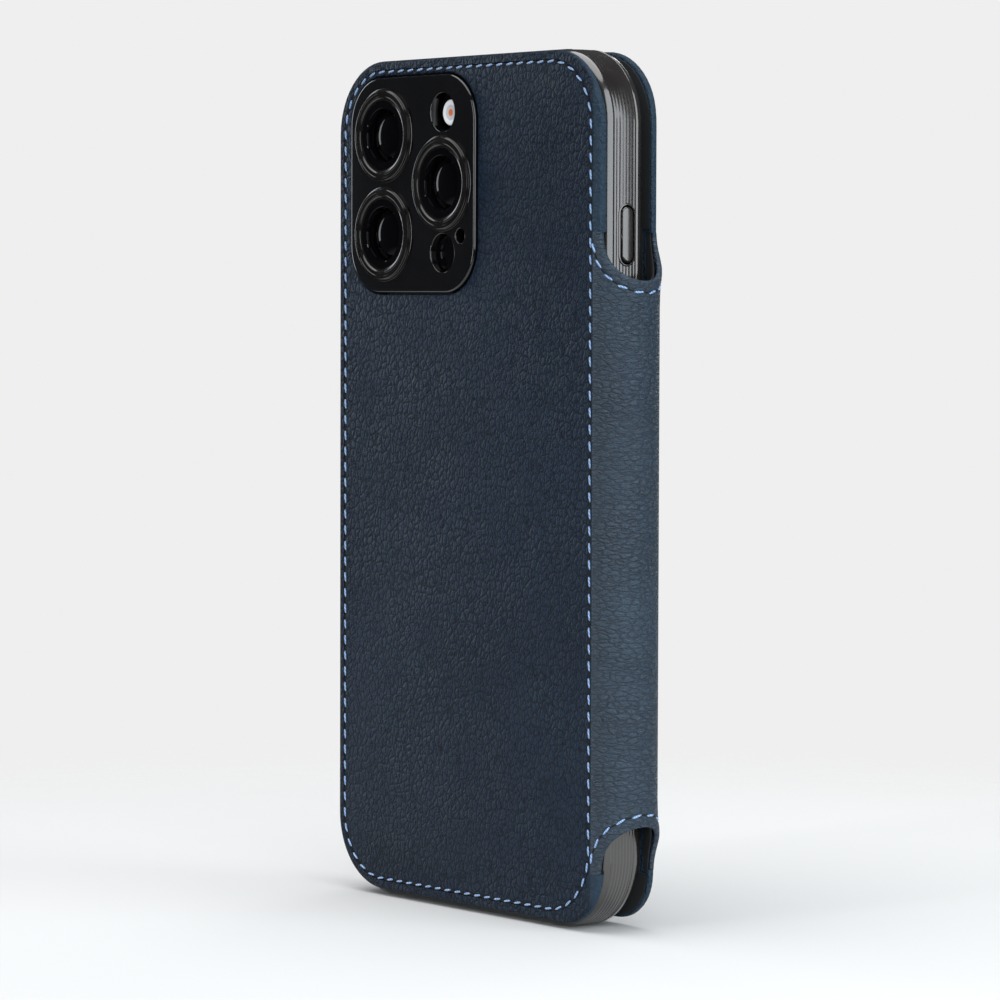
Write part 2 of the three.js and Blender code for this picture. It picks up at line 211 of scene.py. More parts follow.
# A hole's rounded mouth and its wall down to the far face: returns its two loops of edges.
def holeThrough(bm, corners, mouth, far, rounding, steps=14):
    turn = 1 if far > mouth else -1
    face = outline(bm, corners, mouth, steps)
    mouthLoop = list(face.edges)
    arcs = 5
    for k in range(arcs):
        low, high = math.pi / 2 * k / arcs, math.pi / 2 * (k + 1) / arcs
        width = rounding * (math.sin(high) - math.sin(low))
        step(bm, face, width, turn * rounding * (math.cos(low) - math.cos(high)))
    step(bm, face, tiny, far - mouth - turn * rounding)
    return mouthLoop, openFace(bm, face)


def atButt(co):
    return co.x > spineX - tiny and spineFoot - tiny < co.z < spineTop + tiny


def cameraOpening(gap):
    x, z = (plateLow.x + plateHigh.x) / 2, (plateLow.z + plateHigh.z) / 2
    width, height = plateHigh.x - plateLow.x, plateHigh.z - plateLow.z
    return roundAbout(x, z, width + 2 * gap, height + 2 * gap, opening["corner"] + gap)


def seamBox(wider=0):
    inset = panel["seamInset"] - wider
    return (
        backLow.x + inset, spineX - panel["seamToSpine"] + wider,
        backLow.z + inset, backHigh.z - inset, panel["corner"] - inset,
    )


# Where the flat tabs beside the notches lie on the spine's round.
def curlTabs(bm, turn):
    for vert in bm.verts:
        reach = vert.co.x - spineX
        if reach > 0:
            vert.co.y += turn * (spineRadius - math.sqrt(spineRadius ** 2 - reach ** 2))


def leatherPanel(name, outer, inner, cameraHole, material):
    turn = 1 if inner > outer else -1
    bm = bmesh.new()
    outerFace, innerFace = plate(
        bm, panelOutline(), outer, inner, panel["rim"], panel["innerRim"], atButt,
    )
    panelLoop = openFace(bm, outerFace)
    furrow = outline(bm, roundBox(*seamBox(groove["width"] / 2)), outer)
    furrowLoop = list(furrow.edges)
    slices = 6
    for k in range(slices):
        low, high = (math.cos(2 * math.pi * share / slices) for share in (k, k + 1))
        step(bm, furrow, groove["width"] / slices, turn * groove["depth"] * (low - high) / 2)
    middleLoop = openFace(bm, furrow)
    fillBetween(bm, panelLoop + furrowLoop)
    if cameraHole:
        corners = cameraOpening(opening["gap"] + opening["round"])
        mouthLoop, wallLoop = holeThrough(bm, corners, outer, inner, opening["round"])
        fillBetween(bm, middleLoop + mouthLoop)
        fillBetween(bm, openFace(bm, innerFace) + wallLoop)
    else:
        fillBetween(bm, middleLoop)
    curlTabs(bm, turn)
    closeUp(bm)
    return newMesh(name, bm, material)


# Boards and linings: a thin sheet inside the leather's outline.
def innerSheet(name, inset, first, last, cameraHole, material):
    bm = bmesh.new()
    thin = abs(last - first) * 0.3
    firstFace, lastFace = plate(bm, panelOutline(inset, inset), first, last, thin, thin)
    if cameraHole:
        corners = cameraOpening(opening["gap"] + thin)
        mouthLoop, wallLoop = holeThrough(bm, corners, first, last, thin)
        fillBetween(bm, openFace(bm, firstFace) + mouthLoop)
        fillBetween(bm, openFace(bm, lastFace) + wallLoop)
    closeUp(bm)
    return newMesh(name, bm, material)


# Places and headings along a loop with round corners, one every pitch.
def loopPlaces(left, right, foot, top, radius, pitch, shift=0.0):
    width, height, arc = right - left - 2 * radius, top - foot - 2 * radius, radius * math.pi / 2
    total = 2 * (width + height) + 4 * arc
    count = round(total / pitch)
    runs, x, z, heading = [], left + radius, foot, 0.0
    for straight in (width, height, width, height):
        runs.append((straight, x, z, heading, 0))
        x, z = x + straight * math.cos(heading), z + straight * math.sin(heading)
        runs.append((arc, x, z, heading, 1 / radius))
        x += radius * (math.cos(heading) - math.sin(heading))
        z += radius * (math.sin(heading) + math.cos(heading))
        heading += math.pi / 2
    places = []
    for i in range(count):
        distance = (i + shift) * total / count
        for length, x, z, heading, bend in runs:
            if distance <= length:
                break
            distance -= length
        if bend:
            turned = heading + distance * bend
            x += (math.sin(turned) - math.sin(heading)) / bend
            z -= (math.cos(turned) - math.cos(heading)) / bend
            heading = turned
        else:
            x, z = x + distance * math.cos(heading), z + distance * math.sin(heading)
        places.append((x, z, heading))
    return places


# One stitch or the painted shade of a needle hole: a small pill along Z of its own, laid along a direction.
def addPill(bm, place, along, outward, size, slant=0.0, blunt=0.6):
    sideways = outward.cross(along)
    lay = Matrix((sideways, outward, along)).transposed().to_4x4()
    scale = Matrix.Diagonal((size["width"] / 2, size["height"], size["length"] / 2, 1))
    made = bmesh.ops.create_uvsphere(bm, u_segments=8, v_segments=6, radius=1)["verts"]
    for vert in made:
        vert.co.z = math.copysign(abs(vert.co.z) ** blunt, vert.co.z)
    turn = Matrix.Rotation(slant, 4, "Y")
    bmesh.ops.transform(bm, matrix=Matrix.Translation(place) @ lay @ turn @ scale, verts=made)


def seamRow(name, holeName, places, y, outward, body, nodes):
    threads, holes = bmesh.new(), bmesh.new()
    for i, (x, z, heading) in enumerate(places):
        along = Vector((math.cos(heading), 0, math.sin(heading)))
        addPill(threads, Vector((x, y, z)), along, outward, stitch, stitch["slant"])
        last = Vector((x, y, z)) + along * stitch["pitch"] / 2
        addPill(holes, last, along, outward, needleHoleShade)
    fit(newMesh(name, threads, threadMaterial, 60), body, "seam_thread", *nodes)
    fit(newMesh(holeName, holes, holeShadeMaterial, 60), body, "dark_lining")


print("materials")


def startMaterial(name):
    material = bpy.data.materials.new(name)
    material.use_nodes = True
    nodes = material.node_tree.nodes
    nodes.clear()
    output = nodes.new("ShaderNodeOutputMaterial")
    shader = nodes.new("ShaderNodeBsdfPrincipled")
    material.node_tree.links.new(shader.outputs["BSDF"], output.inputs["Surface"])
    return material, nodes, material.node_tree.links, shader


def setSockets(node, **values):
    for name, value in values.items():
        node.inputs[name.replace("_", " ")].default_value = value


def addMath(nodes, links, operation, first, second):
    node = nodes.new("ShaderNodeMath")
    node.operation = operation
    for socket, value in zip(node.inputs, (first, second)):
        if isinstance(value, (int, float)):
            socket.default_value = value
        else:
            links.new(value, socket)
    return node.outputs[0]


def addRange(nodes, links, value, low, high, toLow=0.0, toHigh=1.0):
    node = nodes.new("ShaderNodeMapRange")
    node.interpolation_type = "SMOOTHSTEP"
    links.new(value, node.inputs["Value"])
    for name, number in zip(("From Min", "From Max", "To Min", "To Max"), (low, high, toLow, toHigh)):
        node.inputs[name].default_value = number
    return node.outputs["Result"]


def addMix(nodes, links, share, first, second):
    node = nodes.new("ShaderNodeMix")
    node.data_type = "RGBA"
    links.new(share, node.inputs["Factor"])
    for name, value in (("A", first), ("B", second)):
        socket = next(s for s in node.inputs if s.name == name and s.type == "RGBA")
        if isinstance(value, tuple):
            socket.default_value = (*value, 1)
        else:
            links.new(value, socket)
    return next(s for s in node.outputs if s.type == "RGBA")


def addNoise(nodes, links, place, scale, detail=2.0):
    node = nodes.new("ShaderNodeTexNoise")
    links.new(place, node.inputs["Vector"])
    node.inputs["Scale"].default_value = scale
    node.inputs["Detail"].default_value = detail
    return node


# Pebbled leather grain: cells with creases between them, on any coordinates in metres; its crease output is
# the mask for painted shade in the creases.
def makeGrain():
    group = bpy.data.node_groups.new("leatherGrain", "ShaderNodeTree")
    group.interface.new_socket("Place", in_out="INPUT", socket_type="NodeSocketVector")
    group.interface.new_socket("Stretch", in_out="INPUT", socket_type="NodeSocketVector")
    group.interface.new_socket("Height", in_out="OUTPUT", socket_type="NodeSocketFloat")
    group.interface.new_socket("CreaseShade", in_out="OUTPUT", socket_type="NodeSocketFloat")
    group.interface.new_socket("Tone", in_out="OUTPUT", socket_type="NodeSocketFloat")
    nodes, links = group.nodes, group.links
    start = nodes.new("NodeGroupInput")
    end = nodes.new("NodeGroupOutput")
    stretched = nodes.new("ShaderNodeVectorMath")
    stretched.operation = "MULTIPLY"
    links.new(start.outputs["Place"], stretched.inputs[0])
    links.new(start.outputs["Stretch"], stretched.inputs[1])
    wobble = addNoise(nodes, links, stretched.outputs[0], 420, 3)
    shift = nodes.new("ShaderNodeVectorMath")
    shift.operation = "MULTIPLY_ADD"
    links.new(wobble.outputs["Color"], shift.inputs[0])
    shift.inputs[1].default_value = (0.0011, 0.0011, 0.0011)
    links.new(stretched.outputs[0], shift.inputs[2])

    def cells(scale):
        node = nodes.new("ShaderNodeTexVoronoi")
        node.feature = "DISTANCE_TO_EDGE"
        node.inputs["Scale"].default_value = scale
        links.new(shift.outputs[0], node.inputs["Vector"])
        return node.outputs["Distance"]

    large, small = cells(760), cells(1650)
    pebble = addRange(nodes, links, large, 0.0, 0.26)
    pore = addRange(nodes, links, small, 0.0, 0.2)
    fine = addNoise(nodes, links, stretched.outputs[0], 5200, 2)
    patch = addNoise(nodes, links, start.outputs["Place"], 95, 3)
    depth = addRange(nodes, links, patch.outputs["Fac"], 0.35, 0.65, 0.45, 1.0)
    body = addMath(nodes, links, "MULTIPLY", pebble, depth)
    body = addMath(nodes, links, "ADD", body, addMath(nodes, links, "MULTIPLY", pore, 0.35))
    body = addMath(nodes, links, "ADD", body, addMath(nodes, links, "MULTIPLY", fine.outputs["Fac"], 0.22))
    links.new(body, end.inputs["Height"])
    links.new(addRange(nodes, links, large, 0.0, 0.14, 1.0, 0.0), end.inputs["CreaseShade"])
    tone = addNoise(nodes, links, start.outputs["Place"], 30, 4)
    links.new(tone.outputs["Fac"], end.inputs["Tone"])
    return group


grainGroup = makeGrain()


def leatherMaterial(name, look, uvName=None, face=None, turn=1):
    material, nodes, links, shader = startMaterial(name)
    grain = nodes.new("ShaderNodeGroup")
    grain.node_tree = grainGroup
    grain.inputs["Stretch"].default_value = look["stretch"]
    if uvName:
        place = nodes.new("ShaderNodeUVMap")
        place.uv_map = uvName
        links.new(place.outputs["UV"], grain.inputs["Place"])
    else:
        place = nodes.new("ShaderNodeTexCoord")
        links.new(place.outputs["Object"], grain.inputs["Place"])
    tone = addRange(nodes, links, grain.outputs["Tone"], 0.3, 0.7)
    surface = addMix(nodes, links, tone, look["dark"], look["light"])
    # Painted shade: the grain's creases are coloured darker.
    colour = addMix(nodes, links, grain.outputs["CreaseShade"], surface, look["creaseShade"])
    # Painted light: the panel's rounded rims get a painted highlight and the tabs beside the spine get the
    # lit spine's tone, both mixed in as one lighter colour.
    if face is not None:
        axes = nodes.new("ShaderNodeSeparateXYZ")
        links.new(place.outputs["Object"], axes.inputs[0])
        depth = addMath(nodes, links, "SUBTRACT", axes.outputs["Y"], face)
        behind = addMath(nodes, links, "MULTIPLY", depth, turn)
        beside = addMath(nodes, links, "SUBTRACT", axes.outputs["X"], spineX)
        rim = addRange(nodes, links, behind, *look["edge"])
        litTab = addRange(nodes, links, beside, *look["tabs"])
        turned = addMath(nodes, links, "MULTIPLY", addMath(nodes, links, "MAXIMUM", rim, litTab), 0.88)
        colour = addMix(nodes, links, turned, colour, look["paintedLightTone"])
    links.new(colour, shader.inputs["Base Color"])
    rough = addRange(nodes, links, grain.outputs["Height"], 0.3, 1.4, look["roughLow"], look["roughHigh"])
    links.new(rough, shader.inputs["Roughness"])
    bump = nodes.new("ShaderNodeBump")
    bump.inputs["Strength"].default_value = look["strength"]
    bump.inputs["Distance"].default_value = look["relief"]
    links.new(grain.outputs["Height"], bump.inputs["Height"])
    links.new(bump.outputs["Normal"], shader.inputs["Normal"])
    setSockets(shader, Specular_IOR_Level=look["gloss"])
    return material


navy = dict(
    # The crease colour is painted shade in the grain's creases.
    dark=(0.0062, 0.0145, 0.0290), light=(0.0100, 0.0210, 0.0400), creaseShade=(0.0032, 0.0070, 0.0145),
    stretch=(1, 1, 0.8), strength=0.9, relief=0.22 * mm, roughLow=0.52, roughHigh=0.38, gloss=0.13,
    # edge and tabs set where painted light falls on the rims and tabs; the lighter tone is painted light.
    edge=(0.1 * mm, 0.75 * mm), tabs=(-0.9 * mm, 0.5 * mm), paintedLightTone=(0.0225, 0.0425, 0.0665),
)
# The spine is the same navy hide as the panels, painted lighter and bluer for the light of the spine
# softbox; its crease colour is painted shade.
litSpineNavy = dict(
    navy, stretch=(0.6, 1.5, 1), relief=0.3 * mm, strength=1.0,
    dark=(0.0190, 0.0365, 0.0580), light=(0.0270, 0.0500, 0.0770), creaseShade=(0.0135, 0.0260, 0.0430),
    gloss=0.42, roughLow=0.6, roughHigh=0.38,
)
leather = leatherMaterial("navyLeather", navy)
backLeather = leatherMaterial("navyBackLeather", navy, None, backLow.y)
flapLeather = leatherMaterial("navyFlapLeather", navy, None, flapHigh.y, -1)
litSpineLeather = leatherMaterial("litNavySpineLeather", litSpineNavy, "leatherUv")


def grainyMaterial(name, dark, light, scale, roughness, relief, gloss=0.5, coat=0.0, sheen=0.0):
    material, nodes, links, shader = startMaterial(name)
    place = nodes.new("ShaderNodeTexCoord")
    noise = addNoise(nodes, links, place.outputs["Object"], scale, 4)
    share = addRange(nodes, links, noise.outputs["Fac"], 0.3, 0.7)
    links.new(addMix(nodes, links, share, dark, light), shader.inputs["Base Color"])
    rough = addRange(nodes, links, noise.outputs["Fac"], 0.3, 0.7, roughness * 0.9, roughness * 1.1)
    links.new(rough, shader.inputs["Roughness"])
    bump = nodes.new("ShaderNodeBump")
    bump.inputs["Strength"].default_value = 0.5
    bump.inputs["Distance"].default_value = relief
    links.new(noise.outputs["Fac"], bump.inputs["Height"])
    links.new(bump.outputs["Normal"], shader.inputs["Normal"])
    setSockets(shader, Specular_IOR_Level=gloss, Coat_Weight=coat, Coat_Roughness=0.05, Sheen_Weight=sheen)
    return material


# Waxed thread: two twisted plies, drawn as slanting ridges, with painted shade darkening the grooves
# between them.
def twistedThread(name, dark, light):
    material, nodes, links, shader = startMaterial(name)
    place = nodes.new("ShaderNodeTexCoord")
    twist = nodes.new("ShaderNodeTexWave")
    twist.bands_direction = "DIAGONAL"
    setSockets(twist, Scale=900.0, Distortion=1.0, Detail=1.0)
    links.new(place.outputs["Object"], twist.inputs["Vector"])
    links.new(addMix(nodes, links, twist.outputs["Fac"], dark, light), shader.inputs["Base Color"])
    bump = nodes.new("ShaderNodeBump")
    bump.inputs["Strength"].default_value = 0.5
    bump.inputs["Distance"].default_value = 0.05 * mm
    links.new(twist.outputs["Fac"], bump.inputs["Height"])
    links.new(bump.outputs["Normal"], shader.inputs["Normal"])
    setSockets(shader, Roughness=0.5, Sheen_Weight=0.25)
    return material


threadMaterial = twistedThread("blueThread", (0.13, 0.23, 0.42), (0.34, 0.5, 0.78))
# The needle holes are near-black pills: painted shade inside the holes.
holeShadeMaterial = grainyMaterial(
    "needleShade", (0.0012, 0.0016, 0.0028), (0.003, 0.004, 0.006), 2000, 0.95, 0.01 * mm,
)
liningMaterial = grainyMaterial(
    "microfibre", (0.004, 0.0043, 0.0055), (0.008, 0.0088, 0.011), 4200, 0.95, 0.06 * mm, sheen=0.04,
)
boardMaterial = grainyMaterial(
    "pressedBoard", (0.2, 0.18, 0.155), (0.31, 0.285, 0.25), 900, 0.9, 0.05 * mm,
)
shellMaterial = grainyMaterial(
    "smokeShell", (0.0135, 0.0112, 0.0102), (0.0195, 0.0170, 0.0158), 160, 0.2, 0.002 * mm,
    gloss=0.9, coat=0.8,
)
plateMaterial = grainyMaterial(
    "glossBlack", (0.0022, 0.0022, 0.0026), (0.0036, 0.0036, 0.0042), 90, 0.09, 0.003 * mm, coat=0.3,
)
ringMaterial = grainyMaterial(
    "ringBlack", (0.004, 0.0036, 0.0034), (0.0068, 0.006, 0.0056), 300, 0.16, 0.003 * mm,
    gloss=0.45, coat=0.1,
)
glassMaterial = grainyMaterial(
    "lensGlass", (0.0011, 0.001, 0.0016), (0.0024, 0.0019, 0.0028), 60, 0.03, 0.0005 * mm, gloss=0.14,
)

print("camera, floor and light")

view = dict(place=(0.65359, -0.50605, 0.11773), azimuth=52.2116, elevation=2.7124, roll=0.161, lens=156.05)


def makeCamera():
    around, above = math.radians(view["azimuth"]), math.radians(view["elevation"])
    level = math.cos(above)
    back = Vector((math.sin(around) * level, -math.cos(around) * level, math.sin(above)))
    right = Vector((math.cos(around), math.sin(around), 0))
    turn = Matrix((right, back.cross(right), back)).transposed().to_4x4()
    roll = Matrix.Rotation(math.radians(view["roll"]), 4, "Z")
    data = bpy.data.cameras.new("camera")
    data.lens, data.sensor_width = view["lens"], 36
    data.clip_start, data.clip_end = 0.05, 50
    camera = bpy.data.objects.new("camera", data)
    camera.matrix_world = Matrix.Translation(view["place"]) @ turn @ roll
    scene.collection.objects.link(camera)
    scene.camera = camera


makeCamera()

backdrop = 0.862  # the even pale grey behind and under the case
floorTone = 0.645


def makeFloor():
    material, nodes, links, shader = startMaterial("paleFloor")
    setSockets(shader, Roughness=0.9)
    shader.inputs["Specular IOR Level"].default_value = 0.0
    shader.inputs["Base Color"].default_value = (floorTone, floorTone, floorTone, 1)
    place = nodes.new("ShaderNodeTexCoord")
    away = nodes.new("ShaderNodeVectorMath")
    away.operation = "LENGTH"
    links.new(place.outputs["Object"], away.inputs[0])
    clear = nodes.new("ShaderNodeBsdfTransparent")
    blend = nodes.new("ShaderNodeMixShader")
    links.new(addRange(nodes, links, away.outputs["Value"], 0.13, 0.32), blend.inputs[0])
    links.new(shader.outputs["BSDF"], blend.inputs[1])
    links.new(clear.outputs["BSDF"], blend.inputs[2])
    output = next(node for node in nodes if node.type == "OUTPUT_MATERIAL")
    links.new(blend.outputs[0], output.inputs["Surface"])
    bm = bmesh.new()
    bmesh.ops.create_grid(bm, x_segments=1, y_segments=1, size=0.5)
    newMesh("floor", bm, material)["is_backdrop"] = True


def makeWorld():
    world = bpy.data.worlds.new("studio")
    world.use_nodes = True
    scene.world = world
    nodes, links = world.node_tree.nodes, world.node_tree.links
    nodes.clear()
    output = nodes.new("ShaderNodeOutputWorld")
    seen, lit = nodes.new("ShaderNodeBackground"), nodes.new("ShaderNodeBackground")
    seen.inputs["Color"].default_value = (backdrop, backdrop, backdrop, 1)
    lit.inputs["Color"].default_value = (0.9, 0.95, 1.0, 1)
    lit.inputs["Strength"].default_value = 0.06
    path = nodes.new("ShaderNodeLightPath")
    mix = nodes.new("ShaderNodeMixShader")
    links.new(path.outputs["Is Camera Ray"], mix.inputs["Fac"])
    links.new(lit.outputs[0], mix.inputs[1])
    links.new(seen.outputs[0], mix.inputs[2])
    links.new(mix.outputs[0], output.inputs["Surface"])


# A softbox stands at an angle round the object: 0 is in front of the camera side, 90 at the spine side.
def softbox(name, around, distance, height, width, tall, power, tint=(1, 1, 1)):
    data = bpy.data.lights.new(name, "AREA")
    data.shape, data.size, data.size_y = "RECTANGLE", width, tall
    data.energy, data.color = power, tint
    lamp = bpy.data.objects.new(name, data)
    angle = math.radians(around)
    lamp.location = (distance * math.sin(angle), -distance * math.cos(angle), height)
    aim = Vector((0, 0, height)) - lamp.location
    lamp.rotation_euler = aim.to_track_quat("-Z", "Y").to_euler()
    scene.collection.objects.link(lamp)


def makeLights():
    softbox("frontStrip", 3, 0.9, 0.2, 0.1, 0.8, 3.0, (0.95, 0.98, 1))
    softbox("spineBox", 88, 0.8, 0.5, 1.34, 1.04, 13.8, (0.9, 0.96, 1))
    softbox("leftFill", -80, 1.0, 0.32, 0.35, 0.6, 2.0, (0.9, 0.96, 1))
    softbox("rearFill", 208, 1.2, 0.45, 0.5, 0.6, 2.4, (0.95, 0.98, 1))
    sun = bpy.data.lights.new("overhead", "SUN")
    sun.energy, sun.angle = 2.9, math.radians(70)
    lamp = bpy.data.objects.new("overhead", sun)
    lamp.rotation_euler = (math.radians(8), math.radians(-6), 0)
    scene.collection.objects.link(lamp)


makeFloor()
makeWorld()
makeLights()

print("leather panels")

backInner = backLow.y + panel["thickness"]
flapInner = flapHigh.y - panel["thickness"]
backPiece = leatherPanel("back_panel_leather", backLow.y, backInner, True, backLeather)
fit(backPiece, "case", "navy_leather", "back_leather")
flapPiece = leatherPanel("flap_panel_leather", flapHigh.y, flapInner, False, flapLeather)
fit(flapPiece, "front_flap", "navy_leather", "flap_leather")

for side, body, hole in (("back", "case", True), ("flap", "front_flap", False)):
    low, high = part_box(side + "_board")
    board = innerSheet(side + "_panel_board", panel["boardInset"], low.y, high.y, hole, boardMaterial)
    fit(board, body, "stiff_board", side + "_board")
    low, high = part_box(side + "_lining")
    lining = innerSheet(side + "_panel_lining", panel["liningInset"], low.y, high.y, hole, liningMaterial)
    fit(lining, body, "dark_lining", side + "_lining")

seamPlaces = loopPlaces(*seamBox(), stitch["pitch"])
sunk = groove["depth"] - stitch["height"] * 0.35
seamRow(
    "back_seam_stitches", "back_needle_hole_shade", seamPlaces, backLow.y + sunk, Vector((0, -1, 0)),
    "case", ["back_seam_thread"],
)
seamRow(
    "flap_seam_stitches", "flap_needle_hole_shade", seamPlaces, flapHigh.y - sunk, Vector((0, 1, 0)),
    "front_flap", ["flap_seam_thread"],
)

print("spine")

# Each part of the spine's arc, its angles, and the two bodies whose hinge lies behind it; the parts are
# built in place and not attached to these bodies.
folds = [
    ("back_fold", -90, -60, "case", "spine_rear", "rear"),
    ("rear_half", -60, 0, "spine_rear", "spine_middle", "middle"),
    ("front_half", 0, 60, "spine_middle", "spine_front", "middle"),
    ("flap_fold", 60, 90, "spine_front", "front_flap", "front"),
]


def notchOutline(inset):
    reach, past = spineRadius * math.pi / 2 + 4 * mm, 6 * mm
    radius = notch["radius"] + inset
    low, high = spineFoot - past, spineTop + past
    crown, floor = notch["crown"] + inset, notch["floor"] - inset
    return [
        (-reach, low, 0), (-radius, low, 0), (-radius, crown, radius), (radius, crown, radius),
        (radius, low, 0), (reach, low, 0), (reach, high, 0), (radius, high, 0),
        (radius, floor, radius), (-radius, floor, radius), (-radius, high, 0), (-reach, high, 0),
    ]


def notchDistance(along, z):
    if z > (spineTop + spineFoot) / 2:
        return math.hypot(along, min(0.0, z - spineTop)) - notch["radius"]
    return math.hypot(along, max(0.0, z - spineFoot)) - notch["radius"]


# How far the leather's outer face lies off the plain round, near a notch.
def leatherRelief(along, z):
    distance = notchDistance(along, z)
    seam = abs(distance - notch["seamInset"]) / (groove["width"] / 2)
    relief = notch["flare"] * max(0.0, 1 - distance / notch["flareReach"]) ** 2
    if seam < 1:
        relief -= groove["depth"] * (1 + math.cos(math.pi * seam)) / 2
    elif distance < notch["seamInset"]:
        relief += notch["swell"] * math.sin(math.pi * max(0.0, distance) / notch["seamInset"])
    ends = math.cos(min(1.0, abs(along) / (spineRadius * math.pi / 2)) * math.pi / 2)
    inside = max(0.0, min(spineTop - z, z - spineFoot) / notch["taper"])
    return relief * min(1.0, 2.5 * ends) * min(1.0, inside)


# The spine is cut flat as a pattern, and then bent round its axis.
def spinePattern(inset, top, base, rings):
    bm = bmesh.new()
    face = outline(bm, notchOutline(inset), top, 28)
    grown = bmesh.ops.extrude_face_region(bm, geom=[face])["geom"]
    verts = [g for g in grown if isinstance(g, bmesh.types.BMVert)]
    bmesh.ops.translate(bm, vec=(0, base - top, 0), verts=verts)
    slot = notch["radius"] + inset + tiny
    for y, size in ((top, notch["rim"]), (base, notch["rim"] * 0.6)):
        rim = [e for e in bm.edges if all(abs(v.co.y - y) < tiny and abs(v.co.x) < slot for v in e.verts)]
        size = min(size, abs(top - base) * 0.45)
        bmesh.ops.bevel(
            bm, geom=rim, offset=size, offset_type="OFFSET", segments=4, profile=0.5,
            affect="EDGES", material=-1, clamp_overlap=True,
        )
    face = widestFace(bm, top)
    for width in rings:
        step(bm, face, width, 0)
    bmesh.ops.triangulate(bm, faces=bm.faces[:])
    return bm


def bendPattern(pattern, name, fromAngle, toAngle, relief, material):
    bm = pattern.copy()
    low, high = (spineRadius * math.radians(a) for a in (fromAngle, toAngle))

    def cutAt(point, normal, clearOuter=False):
        bmesh.ops.bisect_plane(
            bm, geom=bm.verts[:] + bm.edges[:] + bm.faces[:], dist=1e-7,
            plane_co=point, plane_no=normal, clear_outer=clearOuter,
        )
        if clearOuter:
            bmesh.ops.holes_fill(bm, edges=[e for e in bm.edges if e.is_boundary])

    for point, normal in (
        ((low, 0, 0), (-1, 0, 0)), ((high, 0, 0), (1, 0, 0)),
        ((0, 0, spineFoot), (0, 0, -1)), ((0, 0, spineTop), (0, 0, 1)),
    ):
        cutAt(point, normal, True)
    bmesh.ops.triangulate(bm, faces=[f for f in bm.faces if len(f.verts) > 4])
    cuts = round(math.radians(toAngle - fromAngle) / spineSheet["step"])
    for k in range(1, cuts):
        cutAt((low + (high - low) * k / cuts, 0, 0), (1, 0, 0))
    rows = round((spineTop - spineFoot) / spineSheet["row"])
    for k in range(1, rows):
        cutAt((0, 0, spineFoot + (spineTop - spineFoot) * k / rows), (0, 0, 1))
    uvLayer = bm.loops.layers.uv.new("leatherUv")
    for face in bm.faces:
        for loop in face.loops:
            loop[uvLayer].uv = (loop.vert.co.x, loop.vert.co.z)
    for vert in bm.verts:
        along, lift, z = vert.co
        if relief:
            lift += leatherRelief(along, z)
        angle, reach = along / spineRadius, spineRadius + lift
        vert.co = (spineX + reach * math.cos(angle), spineY + reach * math.sin(angle), z)
    closeUp(bm)
    return newMesh(name, bm, material, 50)


def bendWith(piece, node):
    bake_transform(piece)
    if node:
        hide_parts(node)


rings = [notch["seamInset"] - notch["rim"] - groove["width"] / 2] + [groove["width"] / 4] * 4 + [1.5 * mm]
leatherPattern = spinePattern(0, 0, -spineSheet["leather"], [0.6 * mm, rings[0] - 0.6 * mm] + rings[1:])
liningTop = -spineSheet["leather"] - spineSheet["gap"]
liningPattern = spinePattern(0.35 * mm, liningTop, liningTop - spineSheet["lining"], [1.5 * mm])

for name, fromAngle, toAngle, bodyA, bodyB, node in folds:
    skin = bendPattern(leatherPattern, "spine_leather_" + name, fromAngle, toAngle, True, litSpineLeather)
    bendWith(skin, "spine_leather_" + node)
    skin = bendPattern(liningPattern, "spine_lining_" + name, fromAngle, toAngle, False, liningMaterial)
    bendWith(skin, "spine_lining_" + node)


# The row of stitches that follows a notch, from one panel's seam to the other's.
def notchRow(end, centreZ, side):
    radius = notch["radius"] + notch["seamInset"]
    sweep = math.radians(166)
    count = round(sweep * radius / stitch["pitch"])
    for name, fromAngle, toAngle, bodyA, bodyB, node in folds:
        threads, holes = bmesh.new(), bmesh.new()
        for k in range(count):
            for bm, size, share in ((threads, stitch, k + 0.5), (holes, needleHoleShade, k + 1)):
                turn = sweep * (share / count - 0.5)
                along, z = radius * math.sin(turn), centreZ - side * radius * math.cos(turn)
                angle = along / spineRadius
                if not math.radians(fromAngle) <= max(-1.57, min(1.57, angle)) < math.radians(toAngle):
                    continue
                lift = spineRadius + leatherRelief(along, z) + stitch["height"] * 0.3
                if size is needleHoleShade:
                    lift -= stitch["height"] * 0.3
                angle = max(-math.pi / 2, min(math.pi / 2, angle))
                rest = along - angle * spineRadius
                outward = Vector((math.cos(angle), math.sin(angle), 0))
                around = Vector((-math.sin(angle), math.cos(angle), 0))
                place = Vector((spineX, spineY, z)) + outward * lift + around * rest
                heading = around * math.cos(turn) + Vector((0, 0, side * math.sin(turn)))
                addPill(bm, place, heading, outward, size, stitch["slant"] if bm is threads else 0)
        for bm, word, material, slot in (
            (threads, "stitches", threadMaterial, "seam_thread"),
            (holes, "needle_holes", holeShadeMaterial, "dark_lining"),
        ):
            row = newMesh(f"{end}_notch_{word}_{name}", bm, material, 60)
            replaced = f"{end}_notch_thread_{node}" if word == "stitches" else None
            bendWith(row, replaced)


notchRow("upper", spineTop, 1)
notchRow("lower", spineFoot, -1)

print("phone shell")

shell = dict(
    corner=13.85 * mm, backRound=1.7 * mm, frontRound=2.4 * mm, bulge=0.18 * mm,
    ribs=7, ribDepth=0.07 * mm, ribFade=20 * mm, ribFrom=1.9 * mm, ribTo=7.1 * mm,
    wall=1.65 * mm, endWall=1.2 * mm, backWall=0.9 * mm, lipWall=0.75 * mm, lipReach=1.6 * mm,
    lipRound=0.3 * mm, lipRise=0.25 * mm, cameraCut=1.6 * mm, buttonCut=2.4 * mm,
)


# The ribs are deepest round the foot, faint along the sides, and come back round the top corners.
def ribShare(z):
    foot, top = shellLow.z + shell["corner"], shellHigh.z - shell["corner"]
    return max(0.02, 1 - max(0.0, z - foot) / shell["ribFade"], 0.45 * (z - top) / shell["corner"])


